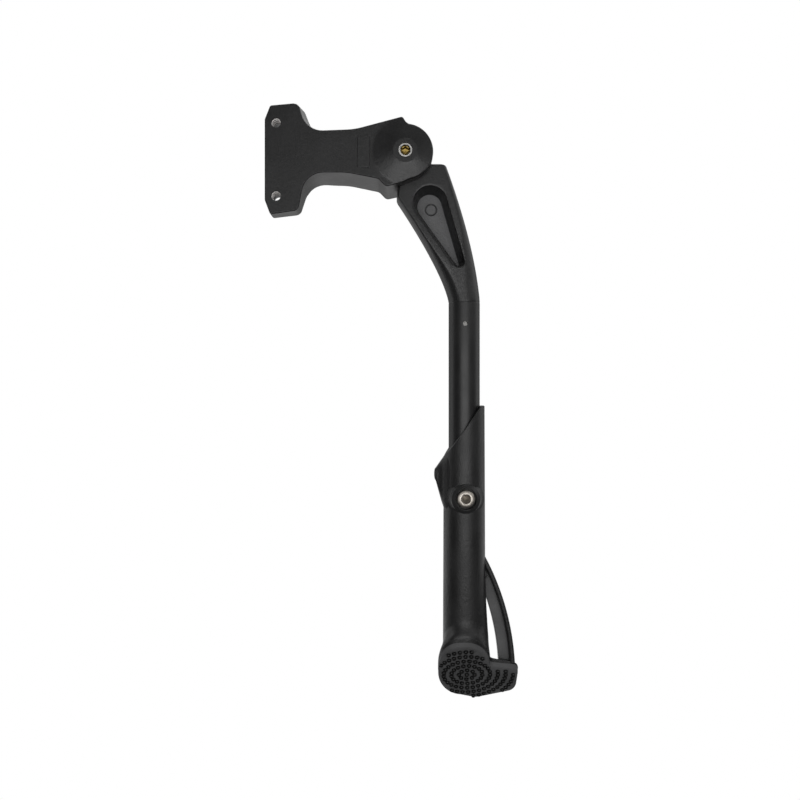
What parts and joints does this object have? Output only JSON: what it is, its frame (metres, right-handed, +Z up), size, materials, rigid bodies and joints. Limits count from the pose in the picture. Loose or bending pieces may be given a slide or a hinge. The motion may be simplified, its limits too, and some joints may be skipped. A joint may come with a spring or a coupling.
{
  "type": "bicycle kickstand",
  "caption": "Side-mounted bicycle kickstand: cast bracket with two frame bolt holes, folding cast leg with spring detent, sliding lower leg with clamp screw and slanted nubbed foot.",
  "frame": {"origin": "halfway between the two frame bolt holes, on the bracket's flat mounting face", "axes": "-Y out of the mounting face, +X along the bracket's arm to the pivot, +Z up, the leg hangs along -Z"},
  "size_m": [0.1411, 0.0404, 0.3366],
  "materials": {
    "cast_black": "satin black powder coat on cast aluminium",
    "tube_black": "satin black coat on drawn tube",
    "moulded_black": "black moulded plastic, fine spark-eroded grain",
    "sole_rubber": "matt black rubber",
    "bare_steel": "bright turned steel",
    "stainless": "stainless steel",
    "yellow_zinc": "yellow zinc plate",
    "bronze": "sintered bronze"
  },
  "bodies": {
    "bracket": {"mount_bracket": "cast_black", "pivot_axle": "bare_steel", "axle_screw": "yellow_zinc", "axle_washer": "bare_steel", "axle_nut": "bare_steel", "detent_spring": "bare_steel", "spring_seat": "bare_steel"},
    "plunger": {"detent_plunger": "bare_steel"},
    "leg": {"upper_leg": "cast_black", "leg_tube": "tube_black", "tube_pin": "bare_steel", "bush_front": "bronze", "bush_rear": "bronze"},
    "lower_leg": {"lower_leg": "moulded_black", "clamp_screw": "stainless", "clamp_nut": "stainless", "foot_pad": "sole_rubber"}
  },
  "joints": [
    {"name": "leg_swing", "type": "hinge", "parent": "bracket", "child": "leg", "pos_m": [0.0708, 0.0151, 0.0043], "axis": [0, -1, 0], "range_deg": [0, 108]},
    {"name": "plunger_slide", "type": "slide", "parent": "bracket", "child": "plunger", "axis": [-1, 0, 0], "range_m": [0, 0.0025], "stiffness_N_per_m": 4000, "deforming": ["detent_spring"]},
    {"name": "sleeve_slide", "type": "slide", "parent": "leg", "child": "lower_leg", "axis": [0, 0, -1], "range_m": [-0.02, 0.015]}
  ]
}
